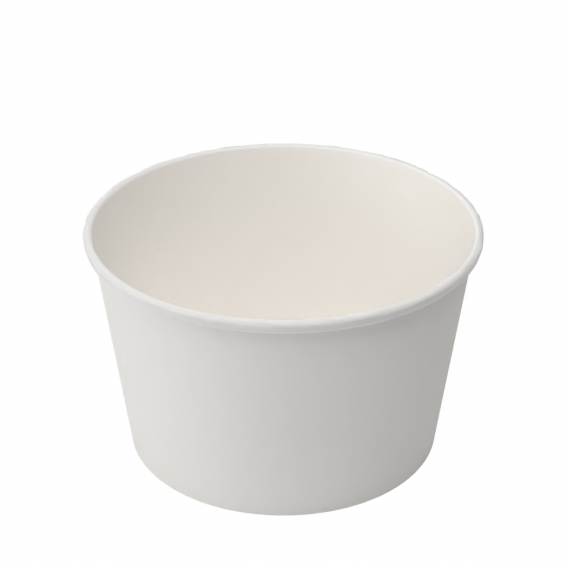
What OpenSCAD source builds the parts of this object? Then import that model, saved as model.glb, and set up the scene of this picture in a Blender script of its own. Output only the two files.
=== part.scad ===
// Paper bowl: a fan-shaped board wound into a cone with a lapped side seam, its top edge rolled
// outward into a rim, its lower edge folded in over the skirt of a pressed base disc.
// Millimetres, +Z up, origin on the table under the middle of the bowl.

/* [Bowl] */
// Outer diameter over the rolled rim
rim_d = 118; // [90:1:150]
// Height from the table to the top of the rim
height = 71.3; // [50:0.1:100]
// Outer diameter of the cone where it meets the table
foot_d = 94.5; // [70:0.5:104]

/* [Boards] */
// Thickness of the side wall's board
wall_t = 0.4; // [0.3:0.05:0.5]
// Thickness of the base disc's board
base_t = 0.35; // [0.25:0.05:0.5]

/* [Rolled rim] */
// Outer radius of the bend from the wall into the crown of the rim
crown_r = 1.2; // [1:0.05:1.4]
// Width of the crown's flat, between its two bends
crown_w = 0.6; // [0.4:0.05:1.2]
// Angle at which the crown falls away outward
crown_tilt = 12; // [5:1:20]
// Outer radius of the bend from the crown into the flank
shoulder_r = 1; // [0.8:0.05:1.2]
// Height of the roll, from the top of the rim to its underside
roll_h = 3.7; // [3.4:0.1:5]
// Outer radius of the bend under the roll, from the flank back up beside the wall
roll_low_r = 1.05; // [0.9:0.05:1.2]
// Direction in which the rolled edge ends, inside the roll: 180 points at the wall, 90 up
roll_end_deg = 130; // [100:5:170]
// Gap between the lower bend and the wall
roll_gap = 0.1; // [0.05:0.05:0.3]

/* [Foot] */
// Length of the hem that stands up inside the foot
hem_len = 4.4; // [3:0.1:5]
// Depth by which the fold is pressed flat where it stands on the table
foot_press = 0.08; // [0.04:0.01:0.12]
// Height of the underside of the base disc above the table
base_lift = 6.4; // [6.3:0.1:12]
// Outer radius of the bend from the disc into its skirt
base_bend_r = 0.8; // [0.6:0.05:1]
// Play round the skirt, in the channel between wall and hem
skirt_play = 0.03; // [0.02:0.01:0.1]

/* [Side seam] */
// Width of the lap, measured at the rim
lap_w = 8.5; // [5:0.5:12]
// Depth by which the lapped plies are pressed into each other
lap_press = 0.04; // [0.02:0.01:0.1]
// Direction of the seam's inner edge, anticlockwise from +X
seam_deg = 49; // [0:1:350]

/* [Hidden] */
$fn = 180;

// Straight stretches lie this much inside the bends they join, so that they cross them cleanly
blend = 0.0002;

// The winding: half of the wall turns about the axis, the other half about a line a little
// nearer the seam, so that its end climbs over the first ply by one board
ply_step = wall_t - lap_press;
wind = ply_step / 2;
lap_deg = round(100 * lap_w / (rim_d / 2) * 180 / PI) / 100;

// The crown: from the centre of its first bend to the centre of the shoulder
crown_across = [cos(crown_tilt), -sin(crown_tilt)];
crown_up = [sin(crown_tilt), cos(crown_tilt)];
crown_run = crown_w * crown_across + (crown_r - shoulder_r) * crown_up;

// The cone: its outer face passes the foot and its inner face touches the crown's first bend
rise = [rim_d / 2 - shoulder_r - crown_run[0] - foot_d / 2, height - crown_r];
lean = acos((crown_r - wall_t) / norm(rise)) - atan2(rise[1], rise[0]);
out = [cos(lean), -sin(lean)];

// The fold: wall, channel for the skirt and hem side by side, bent round one centre
fold_w = 2 * wall_t + ply_step + base_t + 2 * skirt_play;
fold_r = fold_w / 2;

// The board's own frame: x = 0 is the wall's outer face and y = 0 the start of the fold
start_z = fold_r - foot_press - fold_r * sin(lean);
start = [foot_d / 2 + start_z * tan(lean), start_z];
wall_len = (height - crown_r - start_z + (crown_r - wall_t) * sin(lean)) / cos(lean);

// The roll in the board's frame, round the centre of the crown's first bend: the centres of
// the shoulder and of the lower bend, and the directions that the crown and the flank face
shoulder = crown_run * [[cos(lean), sin(lean)], [-sin(lean), cos(lean)]];
drop_x = roll_gap + roll_low_r - (crown_r - wall_t);
drop_z = height - crown_r - (height - roll_h + roll_low_r);
drop = [drop_x, (drop_x * sin(lean) - drop_z) / cos(lean)];
crown_face = [cos(90 - crown_tilt + lean), sin(90 - crown_tilt + lean)];
fall = drop - shoulder;
flank_deg = atan2(fall[1], fall[0]) + acos((shoulder_r - roll_low_r) / norm(fall));
flank = [cos(flank_deg), sin(flank_deg)];

// The base disc: its skirt hangs in the channel, close to the first ply of the wall
skirt_face = -wall_t - skirt_play;
base_top = base_lift + base_t;
base_corner = on_board(skirt_face - base_bend_r, base_top - base_bend_r);

// Place on the section at a depth outside the wall's outer face and at a height above the table
function on_board(depth, z) = [foot_d / 2 + z * tan(lean) + depth / cos(lean), z];

// Disc cut to the sector between two directions
module sector(r, from, to) {
    intersection() {
        circle(r);
        polygon([[0, 0], for (i = [0:3]) let (a = from + (to - from) * i / 3) 2 * r * [cos(a), sin(a)]]);
    }
}

// Board bent round a centre
module bend(r, from, to) {
    difference() {
        sector(r, from, to);
        circle(r - wall_t);
    }
}

// Outline of the roll, or of the hollow in it when set in by a board
module roll_outline(inset) {
    circle(crown_r - inset);
    translate(shoulder) circle(shoulder_r - inset);
    translate(drop) circle(roll_low_r - inset);
    polygon([
        [0, 0],
        drop,
        drop + (roll_low_r - inset - blend) * flank,
        shoulder + (shoulder_r - inset - blend) * flank,
        shoulder,
        shoulder + (shoulder_r - inset - blend) * crown_face,
        (crown_r - inset - blend) * crown_face
    ]);
}

// Section of the roll, round the centre of the crown's first bend
module roll_section() {
    difference() {
        roll_outline(0);
        roll_outline(wall_t);
        polygon([[0, 0], [-roll_h, 0], [-roll_h, drop[1]], drop]);
    }
    translate(drop) bend(roll_low_r, roll_end_deg, 180);
}

// Section of the whole side wall in the board's frame: hem, fold, wall and roll
module board_section() {
    translate([-fold_w, 0]) square([wall_t, hem_len]);
    translate([-fold_r, 0]) bend(fold_r, 180, 360);
    translate([-wall_t, 0]) square([wall_t, wall_len]);
    translate([crown_r - wall_t, wall_len]) roll_section();
}

// Section of the side wall, pressed flat on the table
module wall_section() {
    intersection() {
        translate(start) rotate(-lean) board_section();
        square([rim_d, 2 * height]);
    }
}

module side_wall() {
    color([0.94, 0.94, 0.93]) rotate([0, 0, seam_deg]) {
        rotate_extrude(angle = 180, start = 180) wall_section();
        translate([wind, 0, 0])
            rotate_extrude(angle = 180 + lap_deg, start = -lap_deg) translate([wind, 0]) wall_section();
    }
}

// Outline of the base disc and all that is under it, or of the space under it when set in
module base_outline(inset, low) {
    translate(base_corner) circle(base_bend_r - inset);
    polygon([
        [0, low],
        on_board(skirt_face - inset - blend, low),
        base_corner + (base_bend_r - inset - blend) * out,
        base_corner,
        base_corner + [0, base_bend_r - inset - blend],
        [0, base_top - inset - blend]
    ]);
}

module base_disc() {
    color([0.93, 0.91, 0.87]) rotate_extrude() difference() {
        base_outline(0, fold_r + skirt_play);
        base_outline(base_t, fold_r - wall_t);
    }
}

side_wall();
base_disc();
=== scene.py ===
import math

import bpy
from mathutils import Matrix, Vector


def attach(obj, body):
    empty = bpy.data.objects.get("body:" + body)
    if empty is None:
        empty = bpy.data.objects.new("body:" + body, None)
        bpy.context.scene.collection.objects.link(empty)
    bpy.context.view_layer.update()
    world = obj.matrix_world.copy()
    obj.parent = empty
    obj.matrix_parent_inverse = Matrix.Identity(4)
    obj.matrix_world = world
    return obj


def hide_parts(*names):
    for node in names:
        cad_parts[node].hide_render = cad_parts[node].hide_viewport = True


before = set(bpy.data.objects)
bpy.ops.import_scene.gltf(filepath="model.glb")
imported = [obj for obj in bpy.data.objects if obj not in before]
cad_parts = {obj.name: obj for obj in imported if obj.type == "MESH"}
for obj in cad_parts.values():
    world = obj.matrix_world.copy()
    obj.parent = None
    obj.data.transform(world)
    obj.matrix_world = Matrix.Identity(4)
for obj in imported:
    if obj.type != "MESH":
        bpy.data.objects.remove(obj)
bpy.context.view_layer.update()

bl_info = {
    "name": "Paper bowl",
    "version": (1, 0, 0),
    "blender": (4, 5, 0),
    "location": "View3D > Sidebar > Paper bowl",
    "description": "Models a paper bowl of two boards in detail and sets it in a plain studio",
    "category": "Object",
}

MM = 0.001

# Steps along the sections of the two boards, and columns round the base disc
HEM_STEPS = 8
CONE_STEPS = 10
FLAT_STEPS = 4
BEND_STEPS = 10
LOW_BEND_STEPS = 14
DISC_STEPS = 12
SKIRT_BEND_STEPS = 8
DISC_COLUMNS = 180
# Distance within which two points are taken as one
SAME_PLACE = 0.01 * MM
SMOOTH_ANGLE = math.radians(35)

# Dents: rings of weight round their middle line, and where in the shoulder's bend that line is
WEIGHT_STEPS = 12
DENT_FACING = 0.5
# Brightness of the cloud texture at which the shoulder stays where it is
DENT_LEVEL = 0.62
DENT_DETAIL = 2
# Share of the hem's length that is left plain at each end of its ribs
KNURL_MARGIN = 0.12
# Columns over which the lap's end is pressed down on the rim, and the depth as a share of one ply
PRESS_COLUMNS = 6
PRESS_SHARE = 0.85

# Darkest and lightest of the clouds in a board, as shares of its colour
CLOUD_DARK = 0.985
CLOUD_LIGHT = 1.012
# Detail and roughness of the noise in the clouds and in the fibre
CLOUD_NOISE = (3, 0.55)
FIBRE_NOISE = (4, 0.65)
# Roughness of each face of the boards, and how strong its tooth is beside the plain face's
FACES = {
    "coated_board": (0.52, 0.35),
    "plain_board": (0.86, 1.0),
    "cut_board": (0.95, 1.6),
    "base_board": (0.6, 0.5),
}
# How far the roughness goes up and down with the clouds
ROUGH_SPREAD = 0.08
# Gloss of the boards, and the strength and height of their tooth
SHEEN = 0.25
TOOTH_STRENGTH = 0.12
TOOTH_HEIGHT = 0.05 * MM
# Sockets of the grain's node group, and the sizes in the finish that they take
GRAIN_SIZES = {
    "Fibre Size": "fibre_size",
    "Cloud Size": "cloud_size",
    "Speck Step": "speck_step",
    "Speck Size": "speck_size",
}

# Distance over which one colour fades into the next at the rim
RIM_FADE = 0.6 * MM
# Heights of the painted shade and highlight outside the rim, as shares of the roll's height from its
# underside up: a lighter line at the underside, then darker flank, shoulder and crown
RIM_STOPS = (
    ("painted_lit_line", 0.17),
    ("flank", 0.23),
    ("flank", 0.55),
    ("shoulder", 0.72),
    ("shoulder", 0.93),
    ("crown", 0.98),
)

# Floor: its colour to the light, and the share of plain white that the eye sees
FLOOR_GREY = 0.75
FLOOR_GLOW = 0.985
# Camera: the width of its sensor in millimetres, and the nearest that it sees
SENSOR_W = 36
CLIP_START = 10 * MM
# Direction of each lamp in degrees: round the bowl from the front to the right, and up
LAMP_SIDES = {
    "key": (315, 40),
    "low": (315, 12),
    "left": (270, 12),
    "left_high": (270, 40),
    "front_top": (0, 68),
    "right_top": (90, 68),
    "right": (90, 40),
    "back": (180, 40),
}


class BowlSizes(bpy.types.PropertyGroup):
    """Sizes of the bowl's two boards, as in the part's own source"""

    rim_d: bpy.props.FloatProperty(
        name="Rim diameter", description="Outer diameter over the rolled rim",
        default=118 * MM, unit="LENGTH",
    )
    height: bpy.props.FloatProperty(
        name="Height", description="From the table to the top of the rim",
        default=71.3 * MM, unit="LENGTH",
    )
    foot_d: bpy.props.FloatProperty(
        name="Foot diameter", description="Outer diameter of the cone at the table",
        default=94.5 * MM, unit="LENGTH",
    )
    wall_t: bpy.props.FloatProperty(
        name="Wall board", description="Thickness of the side wall's board",
        default=0.4 * MM, unit="LENGTH",
    )
    base_t: bpy.props.FloatProperty(
        name="Base board", description="Thickness of the base disc's board",
        default=0.35 * MM, unit="LENGTH",
    )
    crown_r: bpy.props.FloatProperty(
        name="Crown bend", description="Outer radius of the bend from the wall into the rim's crown",
        default=1.2 * MM, unit="LENGTH",
    )
    crown_w: bpy.props.FloatProperty(
        name="Crown width", description="Width of the crown's flat between its bends",
        default=0.6 * MM, unit="LENGTH",
    )
    crown_tilt: bpy.props.FloatProperty(
        name="Crown tilt", description="Angle at which the crown falls away outward",
        default=math.radians(12), subtype="ANGLE",
    )
    shoulder_r: bpy.props.FloatProperty(
        name="Shoulder", description="Outer radius of the bend from the crown into the flank",
        default=1.0 * MM, unit="LENGTH",
    )
    roll_h: bpy.props.FloatProperty(
        name="Roll height", description="From the top of the rim to its underside",
        default=3.7 * MM, unit="LENGTH",
    )
    roll_low_r: bpy.props.FloatProperty(
        name="Lower bend", description="Outer radius of the bend under the roll",
        default=1.05 * MM, unit="LENGTH",
    )
    roll_end: bpy.props.FloatProperty(
        name="Roll end", description="Direction in which the rolled edge ends",
        default=math.radians(130), subtype="ANGLE",
    )
    roll_gap: bpy.props.FloatProperty(
        name="Roll gap", description="Gap between the lower bend and the wall",
        default=0.1 * MM, unit="LENGTH",
    )
    hem_len: bpy.props.FloatProperty(
        name="Hem", description="Length of the hem that stands up inside the foot",
        default=4.4 * MM, unit="LENGTH",
    )
    foot_press: bpy.props.FloatProperty(
        name="Foot press", description="Depth by which the fold is pressed flat",
        default=0.08 * MM, unit="LENGTH",
    )
    base_lift: bpy.props.FloatProperty(
        name="Base lift", description="Height of the base disc's underside",
        default=6.4 * MM, unit="LENGTH",
    )
    base_bend_r: bpy.props.FloatProperty(
        name="Base bend", description="Outer radius of the bend into the skirt",
        default=0.8 * MM, unit="LENGTH",
    )
    skirt_play: bpy.props.FloatProperty(
        name="Skirt play", description="Play round the skirt in its channel",
        default=0.03 * MM, unit="LENGTH",
    )
    lap_w: bpy.props.FloatProperty(
        name="Lap width", description="Width of the side seam's lap at the rim",
        default=8.5 * MM, unit="LENGTH",
    )
    lap_press: bpy.props.FloatProperty(
        name="Lap press", description="Depth by which the lapped plies are pressed",
        default=0.04 * MM, unit="LENGTH",
    )
    seam: bpy.props.FloatProperty(
        name="Seam", description="Direction of the seam's inner edge, anticlockwise from +X",
        default=math.radians(49), subtype="ANGLE",
    )
    columns: bpy.props.IntProperty(
        name="Columns", description="Columns of faces in one turn of the wall", default=480, min=24
    )
    knurl_depth: bpy.props.FloatProperty(
        name="Knurl depth", description="Depth of the ribs pressed into the hem",
        default=0.09 * MM, unit="LENGTH",
    )
    dent_depth: bpy.props.FloatProperty(
        name="Dent depth", description="Depth range of the soft dents in the rim's shoulder",
        default=1.0 * MM, unit="LENGTH",
    )
    dent_len: bpy.props.FloatProperty(
        name="Dent length", description="Distance over which the dents change along the rim",
        default=6 * MM, unit="LENGTH",
    )
    dent_reach: bpy.props.FloatProperty(
        name="Dent reach", description="Distance from the shoulder at which the dents end",
        default=1.3 * MM, unit="LENGTH",
    )


class BowlFinish(bpy.types.PropertyGroup):
    """Colours and grain of the board"""

    coated: bpy.props.FloatVectorProperty(
        name="Coated face", description="Colour of the face that holds the food",
        default=(0.95, 0.921, 0.875), subtype="COLOR",
    )
    # Painted shade: a darker copy of the coated face where it bends into the rim
    painted_inner_bend_shade: bpy.props.FloatVectorProperty(
        name="Inner bend", description="Colour of the same face where it bends into the rim",
        default=(0.895, 0.885, 0.862), subtype="COLOR",
    )
    # Painted shade: a darker copy of the coated face over the rim's top
    crown: bpy.props.FloatVectorProperty(
        name="Crown", description="Colour of the same face over the rim's top, painted darker as shade",
        default=(0.815, 0.804, 0.786), subtype="COLOR",
    )
    # Painted shade: a still darker copy of the coated face round the rim's outer bend
    shoulder: bpy.props.FloatVectorProperty(
        name="Shoulder", description="Colour of the same face round the outer bend, painted darker as shade",
        default=(0.765, 0.755, 0.738), subtype="COLOR",
    )
    # Painted shade: a darker copy of the coated face down the outside of the rim
    flank: bpy.props.FloatVectorProperty(
        name="Flank", description="Colour of the same face down the outside of the rim",
        default=(0.83, 0.818, 0.80), subtype="COLOR",
    )
    # Painted highlight: a line lighter than the flank along the rim's lower edge, in place of light from
    # below
    painted_lit_line: bpy.props.FloatVectorProperty(
        name="Painted lit line", description="Colour along the rim's lower edge, painted lighter for light from below",
        default=(0.93, 0.92, 0.905), subtype="COLOR",
    )
    plain: bpy.props.FloatVectorProperty(
        name="Plain face", description="Colour of the face outside",
        default=(0.866, 0.846, 0.818), subtype="COLOR",
    )
    edge: bpy.props.FloatVectorProperty(
        name="Cut edge", description="Colour of the board's core where it is cut",
        default=(0.80, 0.77, 0.72), subtype="COLOR",
    )
    base: bpy.props.FloatVectorProperty(
        name="Base board", description="Colour of the base disc",
        default=(0.86, 0.84, 0.81), subtype="COLOR",
    )
    fibre_size: bpy.props.FloatProperty(
        name="Fibre size", description="Size of the board's fibre grain",
        default=0.35 * MM, unit="LENGTH",
    )
    cloud_size: bpy.props.FloatProperty(
        name="Cloud size", description="Size of the soft clouds in the board",
        default=5 * MM, unit="LENGTH",
    )
    speck_step: bpy.props.FloatProperty(
        name="Speck spacing", description="Distance between the stray dark fibres in the board",
        default=16 * MM, unit="LENGTH",
    )
    speck_size: bpy.props.FloatProperty(
        name="Speck size", description="Radius of a stray dark fibre", default=0.4 * MM, unit="LENGTH"
    )


class StudioSettings(bpy.types.PropertyGroup):
    """Camera and lamps"""

    distance: bpy.props.FloatProperty(
        name="Distance", description="From the camera to the point it looks at",
        default=0.531, unit="LENGTH",
    )
    elevation: bpy.props.FloatProperty(
        name="Elevation", description="Angle at which the camera looks down",
        default=math.radians(28.58), subtype="ANGLE",
    )
    aim: bpy.props.FloatProperty(
        name="Aim", description="Height of the point the camera looks at",
        default=51.3 * MM, unit="LENGTH",
    )
    lens: bpy.props.FloatProperty(
        name="Lens", description="Focal length in millimetres", default=112.25
    )
    key: bpy.props.FloatProperty(
        name="Key lamp", description="Power of the soft lamp in front at the left",
        default=2.95, unit="POWER",
    )
    low: bpy.props.FloatProperty(
        name="Low lamp", description="Power of the soft lamp low under the key lamp",
        default=2.6, unit="POWER",
    )
    left: bpy.props.FloatProperty(
        name="Left lamp", description="Power of the soft lamp low at the left",
        default=4.25, unit="POWER",
    )
    left_high: bpy.props.FloatProperty(
        name="High left lamp", description="Power of the weak lamp above the left lamp",
        default=1.6, unit="POWER",
    )
    front_top: bpy.props.FloatProperty(
        name="Front top lamp", description="Power of the soft lamp above the front",
        default=8.0, unit="POWER",
    )
    right_top: bpy.props.FloatProperty(
        name="Right top lamp", description="Power of the soft lamp above the right",
        default=3.5, unit="POWER",
    )
    right: bpy.props.FloatProperty(
        name="Right lamp", description="Power of the weak lamp at the right", default=1.5, unit="POWER"
    )
    back: bpy.props.FloatProperty(
        name="Back lamp", description="Power of the soft lamp behind the bowl",
        default=2.1, unit="POWER",
    )
    sky: bpy.props.FloatProperty(
        name="Sky", description="Strength of the even light all round", default=0.06
    )
    lamp_distance: bpy.props.FloatProperty(
        name="Lamp distance", description="From each lamp to the point it lights",
        default=1.4, unit="LENGTH",
    )
    lamp_w: bpy.props.FloatProperty(
        name="Lamp width", description="Width of each lamp's square face", default=0.7, unit="LENGTH"
    )
    lamp_aim: bpy.props.FloatProperty(
        name="Lamp aim", description="Height of the point the lamps light",
        default=45 * MM, unit="LENGTH",
    )
    floor_w: bpy.props.FloatProperty(
        name="Floor", description="Width of the floor", default=6.0, unit="LENGTH"
    )


def facing(angle):
    """Direction in the XZ plane, at an angle from +X towards +Z."""
    return Vector((math.cos(angle), 0, math.sin(angle)))


def new_vertex(name, place):
    """Starts a mesh object from a plane that is merged to one vertex, and moves that to its place."""
    bpy.ops.object.select_all(action="DESELECT")
    bpy.ops.mesh.primitive_plane_add(size=MM)
    piece = bpy.context.object
    piece.name = name
    piece.data.name = name
    bpy.ops.object.mode_set(mode="EDIT")
    bpy.ops.mesh.select_all(action="SELECT")
    bpy.ops.mesh.merge(type="CENTER")
    bpy.ops.transform.translate(value=place)
    return piece


def draw_to(start, end, steps):
    """Extrudes the last vertex along a straight line, in equal steps."""
    step = (end - start) / steps
    for _ in range(steps):
        bpy.ops.mesh.extrude_vertices_move(TRANSFORM_OT_translate={"value": step})
    return end


def bend_round(start, centre, angle, steps):
    """Extrudes the last vertex round a centre in the XZ plane, anticlockwise for a positive angle."""
    bpy.ops.mesh.spin(steps=steps, angle=angle, center=centre, axis=(0, 1, 0))
    arm = start - centre
    turned = Vector((
        arm.x * math.cos(angle) - arm.z * math.sin(angle),
        0,
        arm.x * math.sin(angle) + arm.z * math.cos(angle),
    ))
    return centre + turned


def spin_up(centre_x, angle, steps):
    """Extrudes the selected profile round an upright axis, anticlockwise seen from above."""
    bpy.ops.mesh.spin(steps=steps, angle=-angle, center=(centre_x, 0, 0), axis=(0, 0, 1))


def select_where(piece, test):
    """Selects the vertices whose place passes a test, in edit mode."""
    bpy.ops.mesh.select_mode(type="VERT")
    bpy.ops.mesh.select_all(action="DESELECT")
    bpy.ops.object.mode_set(mode="OBJECT")
    for vertex in piece.data.vertices:
        vertex.select = test(vertex.co)
    bpy.ops.object.mode_set(mode="EDIT")


def thicken(piece, thickness):
    """Adds the modifier that gives the middle sheet of a board its thickness, half to each side."""
    thick = piece.modifiers.new("thickness", "SOLIDIFY")
    thick.thickness = thickness
    thick.offset = 0
    thick.use_even_offset = True
    return thick


def apply_all(piece):
    """Applies the piece's modifiers in order."""
    bpy.ops.object.mode_set(mode="OBJECT")
    for modifier in list(piece.modifiers):
        bpy.ops.object.modifier_apply(modifier=modifier.name)


class BoardSection:
    """Places and directions on the wall's section, worked out from the bowl's sizes."""

    def __init__(self, sizes):
        t = sizes.wall_t
        self.ply_step = t - sizes.lap_press
        self.fold_w = 2 * t + self.ply_step + sizes.base_t + 2 * sizes.skirt_play
        self.fold_r = self.fold_w / 2
        self.upward = math.pi / 2 - sizes.crown_tilt
        crown = facing(-sizes.crown_tilt)
        crown_face = Vector((-crown.z, 0, crown.x))
        shoulder = sizes.crown_w * crown + (sizes.crown_r - sizes.shoulder_r) * crown_face
        run = sizes.rim_d / 2 - sizes.shoulder_r - shoulder.x - sizes.foot_d / 2
        rise = sizes.height - sizes.crown_r
        self.lean = math.acos((sizes.crown_r - t) / math.hypot(run, rise)) - math.atan2(rise, run)
        self.out = facing(-self.lean)
        self.up = Vector((math.sin(self.lean), 0, math.cos(self.lean)))
        start_z = self.fold_r - sizes.foot_press - self.fold_r * math.sin(self.lean)
        self.start = Vector((sizes.foot_d / 2 + start_z * math.tan(self.lean), 0, start_z))
        self.crown_at = Vector((sizes.foot_d / 2 + run, 0, rise))
        self.shoulder_at = self.crown_at + shoulder
        low_x = sizes.roll_gap + sizes.roll_low_r
        low_z = sizes.height - sizes.roll_h + sizes.roll_low_r
        low_y = (low_z - self.start.z + low_x * math.sin(self.lean)) / math.cos(self.lean)
        self.low_at = self.place(low_x, low_y)
        fall = self.low_at - self.shoulder_at
        turn = math.acos((sizes.shoulder_r - sizes.roll_low_r) / fall.length)
        self.flank = math.atan2(fall.z, fall.x) + turn
        self.wall_top = (self.crown_at - self.start).dot(self.up)

    def place(self, x, y):
        """Place of a point in the board's own frame: x outside its outer face, y above the fold."""
        return self.start + x * self.out + y * self.up


def draw_wall_profile(sizes, section, name):
    """Draws the middle line of the wall's board, from its hem round the fold and up into the roll."""
    t = sizes.wall_t
    place = section.place
    at = place(t / 2 - section.fold_w, sizes.hem_len)
    piece = new_vertex(name, at)
    at = draw_to(at, place(t / 2 - section.fold_w, 0), HEM_STEPS)
    at = bend_round(at, place(-section.fold_r, 0), math.pi, BEND_STEPS)
    at = draw_to(at, place(-t / 2, section.wall_top), CONE_STEPS)
    at = bend_round(at, section.crown_at, section.upward - math.pi + section.lean, BEND_STEPS)
    crown_end = section.shoulder_at + (sizes.shoulder_r - t / 2) * facing(section.upward)
    at = draw_to(at, crown_end, FLAT_STEPS)
    at = bend_round(at, section.shoulder_at, section.flank - section.upward, BEND_STEPS)
    flank_end = section.low_at + (sizes.roll_low_r - t / 2) * facing(section.flank)
    at = draw_to(at, flank_end, FLAT_STEPS)
    inward = sizes.roll_end - section.lean - 2 * math.pi
    bend_round(at, section.low_at, inward - section.flank, LOW_BEND_STEPS)
    mark_shoulder(piece, sizes, section)
    return piece


def mark_shoulder(piece, sizes, section):
    """Gives the points near the rim's shoulder a weight, the nearer the more."""
    bpy.ops.object.vertex_group_add()
    piece.vertex_groups.active.name = "shoulder"
    angle = section.upward + DENT_FACING * (section.flank - section.upward)
    middle_r = sizes.shoulder_r - sizes.wall_t / 2
    shoulder = section.shoulder_at + middle_r * facing(angle)
    for step in range(WEIGHT_STEPS):
        near = sizes.dent_reach * math.acos(2 * step / WEIGHT_STEPS - 1) / math.pi
        select_where(piece, lambda at: (at - shoulder).length < near)
        bpy.context.tool_settings.vertex_group_weight = (step + 1) / WEIGHT_STEPS
        bpy.ops.object.vertex_group_assign()


class BOWL_OT_wall(bpy.types.Operator):
    """Models the side wall: a board wound into a cone with a lap, a rolled rim and a folded foot"""

    bl_idname = "bowl.wall"
    bl_label = "Side wall"

    def execute(self, context):
        sizes = context.scene.bowl_sizes
        section = BoardSection(sizes)
        wind = section.ply_step / 2
        lap = sizes.lap_w / (sizes.rim_d / 2)
        piece = draw_wall_profile(sizes, section, "wound_wall")
        self.add_boards(piece, context.scene.bowl_finish, sizes, section)

        # The half that ends in the lap turns about a line nearer the seam, so it climbs over the other
        half = sizes.columns // 2
        lap_columns = round(lap / math.pi * half)
        bpy.ops.mesh.select_all(action="SELECT")
        bpy.ops.transform.translate(value=(2 * wind, 0, 0))
        bpy.ops.transform.rotate(value=lap, orient_axis="Z", center_override=(wind, 0, 0))
        spin_up(wind, math.pi + lap, half + lap_columns)
        self.press_lap(piece, sizes, section, lap)
        select_where(piece, lambda at: at.x < 0 and abs(at.y) < SAME_PLACE)
        spin_up(0, math.pi, half)
        self.knurl(piece, sizes, section)
        self.finish_board(piece, sizes)

        bpy.ops.mesh.select_all(action="SELECT")
        bpy.ops.transform.rotate(value=-sizes.seam, orient_axis="Z", center_override=(0, 0, 0))
        bpy.ops.object.mode_set(mode="OBJECT")
        bpy.ops.object.shade_smooth_by_angle(angle=SMOOTH_ANGLE)
        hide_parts("side_wall")
        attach(piece, "root")
        return {"FINISHED"}

    def add_boards(self, piece, finish, sizes, section):
        """Gives the sheet its materials: the face inside, the face outside and the cut edges."""
        coated = board("coated_board", finish.coated, finish)
        plain = board("plain_board", finish.plain, finish)
        cut = board("cut_board", finish.edge, finish)
        for material in (coated, plain, cut):
            piece.data.materials.append(material)
        # On the rim the coated face and the cut edges get painted shade and a painted highlight
        for material in (coated, cut):
            paint_rim_shading(material, finish, sizes, section)

    def press_lap(self, piece, sizes, section, lap):
        """Presses the end of the rim's outer ply down on the ply under it, fading out along the rim."""
        low = sizes.height - sizes.roll_h
        column = 2 * math.pi / sizes.columns
        for step in range(PRESS_COLUMNS):
            at_column = step * column - lap

            def on_rim(at):
                reach = math.hypot(at.x, at.y)
                near = abs(math.atan2(at.y, at.x) - at_column) < column / 2
                return near and at.z > low and reach > section.crown_at.x

            select_where(piece, on_rim)
            depth = PRESS_SHARE * section.ply_step * (1 - step / PRESS_COLUMNS)
            shrink = 1 - 2 * depth / sizes.rim_d
            bpy.ops.transform.resize(value=(shrink, shrink, 1), center_override=(0, 0, 0))

    def knurl(self, piece, sizes, section):
        """Presses fine ribs into the hem, one in two columns."""
        low = section.fold_r
        high = section.start.z + sizes.hem_len
        margin = KNURL_MARGIN * sizes.hem_len
        inner_r = sizes.foot_d / 2 - section.fold_r
        step = 2 * math.pi / sizes.columns

        def on_rib(at):
            column = round(math.atan2(at.y, at.x) / step)
            in_hem = low + margin < at.z < high - margin and math.hypot(at.x, at.y) < inner_r
            return in_hem and column % 2 == 0

        select_where(piece, on_rib)
        shrink = 1 - sizes.knurl_depth / inner_r
        bpy.ops.transform.resize(value=(shrink, shrink, 1), center_override=(0, 0, 0))

    def finish_board(self, piece, sizes):
        """Dents the rim, gives the middle sheet its thickness and presses the foot flat."""
        bpy.ops.mesh.select_all(action="SELECT")
        bpy.ops.mesh.normals_make_consistent(inside=False)
        clouds = bpy.data.textures.new("rim_dents", "CLOUDS")
        clouds.noise_scale = sizes.dent_len
        clouds.noise_depth = DENT_DETAIL
        dents = piece.modifiers.new("rim_dents", "DISPLACE")
        dents.texture = clouds
        dents.texture_coords = "LOCAL"
        dents.vertex_group = "shoulder"
        dents.direction = "NORMAL"
        dents.mid_level = DENT_LEVEL
        dents.strength = sizes.dent_depth
        thick = thicken(piece, sizes.wall_t)
        thick.material_offset = 1
        thick.material_offset_rim = 2
        apply_all(piece)
        bpy.ops.object.mode_set(mode="EDIT")
        select_where(piece, lambda at: at.z < 0)
        bpy.ops.transform.resize(value=(1, 1, 0), center_override=(0, 0, 0))


class BOWL_OT_base(bpy.types.Operator):
    """Models the base disc: a round board with its edge turned down into a skirt"""

    bl_idname = "bowl.base"
    bl_label = "Base disc"

    def execute(self, context):
        sizes = context.scene.bowl_sizes
        section = BoardSection(sizes)
        t = sizes.base_t
        face = -sizes.wall_t - sizes.skirt_play
        top = sizes.base_lift + t
        corner_z = top - sizes.base_bend_r
        corner_x = (
            sizes.foot_d / 2 + corner_z * math.tan(section.lean)
            + (face - sizes.base_bend_r) / math.cos(section.lean)
        )
        corner = Vector((corner_x, 0, corner_z))
        middle_r = sizes.base_bend_r - t / 2
        at = Vector((0, 0, top - t / 2))
        piece = new_vertex("base_board", at)
        at = draw_to(at, corner + Vector((0, 0, middle_r)), DISC_STEPS)
        at = bend_round(at, corner, -(math.pi / 2 + section.lean), SKIRT_BEND_STEPS)
        skirt = (at.z - section.fold_r - sizes.skirt_play) / math.cos(section.lean)
        draw_to(at, at - skirt * section.up, FLAT_STEPS)
        bpy.ops.mesh.select_all(action="SELECT")
        spin_up(0, 2 * math.pi, DISC_COLUMNS)
        bpy.ops.mesh.select_all(action="SELECT")
        bpy.ops.mesh.remove_doubles(threshold=SAME_PLACE)
        bpy.ops.mesh.normals_make_consistent(inside=False)
        thicken(piece, t)
        apply_all(piece)
        bpy.ops.object.shade_smooth_by_angle(angle=SMOOTH_ANGLE)
        finish = context.scene.bowl_finish
        piece.data.materials.append(board("base_board", finish.base, finish))
        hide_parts("base_disc")
        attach(piece, "root")
        return {"FINISHED"}


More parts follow.
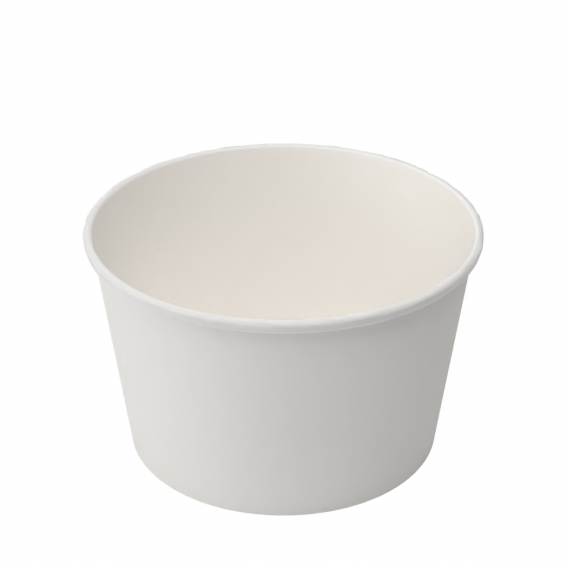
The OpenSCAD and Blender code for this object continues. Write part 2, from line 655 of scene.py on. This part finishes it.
def paper_grain():
    """Node group: the cloudiness, fibre and specks of paper board over a piece's own coordinates."""
    group = bpy.data.node_groups.get("paper_grain")
    if group:
        return group
    group = bpy.data.node_groups.new("paper_grain", "ShaderNodeTree")
    for name in GRAIN_SIZES:
        group.interface.new_socket(name, in_out="INPUT", socket_type="NodeSocketFloat")
    for name in ("Cloud", "Height", "Speck"):
        group.interface.new_socket(name, in_out="OUTPUT", socket_type="NodeSocketFloat")
    nodes, links = group.nodes, group.links
    source = nodes.new("NodeGroupInput")
    sink = nodes.new("NodeGroupOutput")
    place = nodes.new("ShaderNodeTexCoord")

    def divided(value, by):
        divide = nodes.new("ShaderNodeMath")
        divide.operation = "DIVIDE"
        divide.inputs[0].default_value = 1
        if value:
            links.new(value, divide.inputs[0])
        links.new(by, divide.inputs[1])
        return divide.outputs[0]

    def scaled(kind, size_socket):
        texture = nodes.new(kind)
        links.new(place.outputs["Object"], texture.inputs["Vector"])
        links.new(divided(None, source.outputs[size_socket]), texture.inputs["Scale"])
        return texture

    noises = ("Cloud Size", CLOUD_NOISE, "Cloud"), ("Fibre Size", FIBRE_NOISE, "Height")
    for size_socket, (detail, roughness), result in noises:
        noise = scaled("ShaderNodeTexNoise", size_socket)
        noise.inputs["Detail"].default_value = detail
        noise.inputs["Roughness"].default_value = roughness
        links.new(noise.outputs["Fac"], sink.inputs[result])
    cells = scaled("ShaderNodeTexVoronoi", "Speck Step")
    near = nodes.new("ShaderNodeMapRange")
    near.inputs["To Min"].default_value = 1
    near.inputs["To Max"].default_value = 0
    links.new(cells.outputs["Distance"], near.inputs["Value"])
    speck_share = divided(source.outputs["Speck Size"], source.outputs["Speck Step"])
    links.new(speck_share, near.inputs["From Max"])
    links.new(near.outputs["Result"], sink.inputs["Speck"])
    return group


def board(name, colour, finish):
    """Material of one face of a board: its colour, slightly cloudy, with a fine tooth."""
    roughness, tooth = FACES[name]
    material = bpy.data.materials.new(name)
    material.use_nodes = True
    nodes, links = material.node_tree.nodes, material.node_tree.links
    shader = nodes["Principled BSDF"]
    grain = nodes.new("ShaderNodeGroup")
    grain.node_tree = paper_grain()
    for socket, size in GRAIN_SIZES.items():
        grain.inputs[socket].default_value = getattr(finish, size)
    tint = nodes.new("ShaderNodeMix")
    tint.data_type = "RGBA"
    tint.inputs["A"].default_value = [CLOUD_DARK * c for c in colour] + [1]
    tint.inputs["B"].default_value = [CLOUD_LIGHT * c for c in colour] + [1]
    links.new(grain.outputs["Cloud"], tint.inputs["Factor"])
    specks = nodes.new("ShaderNodeMix")
    specks.data_type = "RGBA"
    specks.inputs["B"].default_value = (*finish.edge, 1)
    links.new(grain.outputs["Speck"], specks.inputs["Factor"])
    links.new(tint.outputs["Result"], specks.inputs["A"])
    links.new(specks.outputs["Result"], shader.inputs["Base Color"])
    bump = nodes.new("ShaderNodeBump")
    bump.inputs["Strength"].default_value = TOOTH_STRENGTH * tooth
    bump.inputs["Distance"].default_value = TOOTH_HEIGHT
    links.new(grain.outputs["Height"], bump.inputs["Height"])
    links.new(bump.outputs["Normal"], shader.inputs["Normal"])
    shader.inputs["Specular IOR Level"].default_value = SHEEN
    dull = nodes.new("ShaderNodeMapRange")
    dull.inputs["To Min"].default_value = roughness - ROUGH_SPREAD
    dull.inputs["To Max"].default_value = roughness + ROUGH_SPREAD
    links.new(grain.outputs["Cloud"], dull.inputs["Value"])
    links.new(dull.outputs["Result"], shader.inputs["Roughness"])
    return material


def paint_rim_shading(material, finish, sizes, section):
    """Fades a board's colour into the inner bend's painted shade, and that into the painted shade and
    highlight outside the rim.
    """
    nodes, links = material.node_tree.nodes, material.node_tree.links
    shader = nodes["Principled BSDF"]
    place = nodes.new("ShaderNodeTexCoord")
    parts = nodes.new("ShaderNodeSeparateXYZ")
    flat = nodes.new("ShaderNodeVectorMath")
    flat.operation = "MULTIPLY"
    flat.inputs[1].default_value = (1, 1, 0)
    reach = nodes.new("ShaderNodeVectorMath")
    reach.operation = "LENGTH"
    links.new(place.outputs["Object"], parts.inputs[0])
    links.new(place.outputs["Object"], flat.inputs[0])
    links.new(flat.outputs["Vector"], reach.inputs[0])

    def fade_into(measure, start, colour):
        """Lays a colour over the present one where a measured place passes the start."""
        fade = nodes.new("ShaderNodeMapRange")
        fade.interpolation_type = "SMOOTHSTEP"
        fade.inputs["From Min"].default_value = start
        fade.inputs["From Max"].default_value = start + RIM_FADE
        mix = nodes.new("ShaderNodeMix")
        mix.data_type = "RGBA"
        links.new(measure, fade.inputs["Value"])
        links.new(fade.outputs["Result"], mix.inputs["Factor"])
        links.new(shader.inputs["Base Color"].links[0].from_socket, mix.inputs["A"])
        if isinstance(colour, bpy.types.NodeSocket):
            links.new(colour, mix.inputs["B"])
        else:
            mix.inputs["B"].default_value = (*colour, 1)
        links.new(mix.outputs["Result"], shader.inputs["Base Color"])

    # Painted shade and highlight outside the rim: a colour ramp by height, lighter along the underside,
    # darker up the flank, shoulder and crown
    share = nodes.new("ShaderNodeMapRange")
    share.inputs["From Min"].default_value = sizes.height - sizes.roll_h
    share.inputs["From Max"].default_value = sizes.height
    ramp = nodes.new("ShaderNodeValToRGB")
    stops = ramp.color_ramp.elements
    stops[-1].position = RIM_STOPS[-1][1]
    stops[0].position = RIM_STOPS[0][1]
    for _, at in RIM_STOPS[1:-1]:
        stops.new(at)
    for stop, (part, _) in zip(stops, RIM_STOPS):
        stop.color = (*getattr(finish, part), 1)
    links.new(parts.outputs["Z"], share.inputs["Value"])
    links.new(share.outputs["Result"], ramp.inputs["Fac"])
    # Painted shade on the inner bend, then the painted ramp outside the rim
    fade_into(parts.outputs["Z"], sizes.height - sizes.crown_r, finish.painted_inner_bend_shade)
    fade_into(reach.outputs["Value"], section.crown_at.x - RIM_FADE, ramp.outputs["Color"])


def add_lamp(studio, name, power, side, rise):
    """Square lamp turned to the bowl: side is 0 in front and 90 at the right, rise is its elevation."""
    side, rise = math.radians(side), math.radians(rise)
    away = Vector((math.sin(side) * math.cos(rise), -math.cos(side) * math.cos(rise), math.sin(rise)))
    place = Vector((0, 0, studio.lamp_aim)) + studio.lamp_distance * away
    turn = (-away).to_track_quat("-Z", "Y").to_euler()
    bpy.ops.object.light_add(type="AREA", location=place, rotation=turn)
    lamp = bpy.context.object
    lamp.name = name
    lamp.data.name = name
    lamp.data.shape = "SQUARE"
    lamp.data.size = studio.lamp_w
    lamp.data.energy = power


def seen_rays(nodes, links):
    """Socket that is 1 for rays from the eye, straight or by way of gloss or glass, and 0 for light."""
    path = nodes.new("ShaderNodeLightPath")
    seen = path.outputs["Is Camera Ray"]
    for way in ("Is Glossy Ray", "Is Transmission Ray"):
        either = nodes.new("ShaderNodeMath")
        either.operation = "MAXIMUM"
        links.new(seen, either.inputs[0])
        links.new(path.outputs[way], either.inputs[1])
        seen = either.outputs[0]
    return seen


class BOWL_OT_stage(bpy.types.Operator):
    """Sets the white floor, the lamps, the sky and the camera"""

    bl_idname = "bowl.stage"
    bl_label = "Studio"

    def execute(self, context):
        studio = context.scene.bowl_studio
        bpy.ops.object.select_all(action="DESELECT")
        bpy.ops.mesh.primitive_plane_add(size=studio.floor_w)
        floor = context.object
        floor.name = "floor"
        floor.data.materials.append(self.floor_material())
        aim = Vector((0, 0, studio.aim))
        for name, (side, rise) in LAMP_SIDES.items():
            add_lamp(studio, name + "_lamp", getattr(studio, name), side, rise)
        self.set_sky(context.scene, studio)
        bpy.ops.object.camera_add()
        camera = context.object
        camera.name = "camera"
        away = Vector((0, -math.cos(studio.elevation), math.sin(studio.elevation)))
        camera.location = aim + studio.distance * away
        camera.rotation_euler = (-away).to_track_quat("-Z", "Y").to_euler()
        camera.data.sensor_width = SENSOR_W
        camera.data.lens = studio.lens
        camera.data.clip_start = CLIP_START
        context.scene.camera = camera
        context.scene.view_settings.view_transform = "Standard"
        return {"FINISHED"}

    def floor_material(self):
        """White floor: plain white to the eye with a trace of shadow, and matt white to the light."""
        material = bpy.data.materials.new("floor_white")
        material.use_nodes = True
        nodes, links = material.node_tree.nodes, material.node_tree.links
        shader = nodes["Principled BSDF"]
        shader.inputs["Base Color"].default_value = (FLOOR_GREY, FLOOR_GREY, FLOOR_GREY, 1)
        shader.inputs["Roughness"].default_value = 1
        glow = nodes.new("ShaderNodeEmission")
        glow.inputs["Strength"].default_value = 1
        share = nodes.new("ShaderNodeMath")
        share.operation = "MULTIPLY"
        share.inputs[1].default_value = FLOOR_GLOW
        mix = nodes.new("ShaderNodeMixShader")
        links.new(seen_rays(nodes, links), share.inputs[0])
        links.new(share.outputs[0], mix.inputs["Fac"])
        links.new(shader.outputs["BSDF"], mix.inputs[1])
        links.new(glow.outputs["Emission"], mix.inputs[2])
        links.new(mix.outputs["Shader"], nodes["Material Output"].inputs["Surface"])
        return material

    def set_sky(self, scene, studio):
        """Even light all round, seen as plain white."""
        world = bpy.data.worlds.new("studio_sky")
        scene.world = world
        world.use_nodes = True
        nodes, links = world.node_tree.nodes, world.node_tree.links
        light = nodes["Background"]
        light.inputs["Color"].default_value = (1, 1, 1, 1)
        light.inputs["Strength"].default_value = studio.sky
        white = nodes.new("ShaderNodeBackground")
        white.inputs["Color"].default_value = (1, 1, 1, 1)
        mix = nodes.new("ShaderNodeMixShader")
        links.new(seen_rays(nodes, links), mix.inputs["Fac"])
        links.new(light.outputs["Background"], mix.inputs[1])
        links.new(white.outputs["Background"], mix.inputs[2])
        links.new(mix.outputs["Shader"], nodes["World Output"].inputs["Surface"])


class BOWL_PT_panel(bpy.types.Panel):
    """Lists the bowl's pieces and settings in the sidebar"""

    bl_idname = "BOWL_PT_panel"
    bl_label = "Paper bowl"
    bl_space_type = "VIEW_3D"
    bl_region_type = "UI"
    bl_category = "Paper bowl"

    def draw(self, context):
        scene = context.scene
        for operator in OPERATORS:
            self.layout.operator(operator.bl_idname)
        for settings in (scene.bowl_sizes, scene.bowl_finish, scene.bowl_studio):
            box = self.layout.box()
            for name in settings.__annotations__:
                box.prop(settings, name)


OPERATORS = (BOWL_OT_wall, BOWL_OT_base, BOWL_OT_stage)
SETTINGS = {"bowl_sizes": BowlSizes, "bowl_finish": BowlFinish, "bowl_studio": StudioSettings}
CLASSES = (*SETTINGS.values(), *OPERATORS, BOWL_PT_panel)


def register():
    for cls in CLASSES:
        bpy.utils.register_class(cls)
    for name, cls in SETTINGS.items():
        setattr(bpy.types.Scene, name, bpy.props.PointerProperty(type=cls))


def unregister():
    for name in SETTINGS:
        delattr(bpy.types.Scene, name)
    for cls in reversed(CLASSES):
        bpy.utils.unregister_class(cls)


def main():
    register()
    bpy.ops.bowl.wall()
    bpy.ops.bowl.base()
    bpy.ops.bowl.stage()


if __name__ == "__main__":
    main()
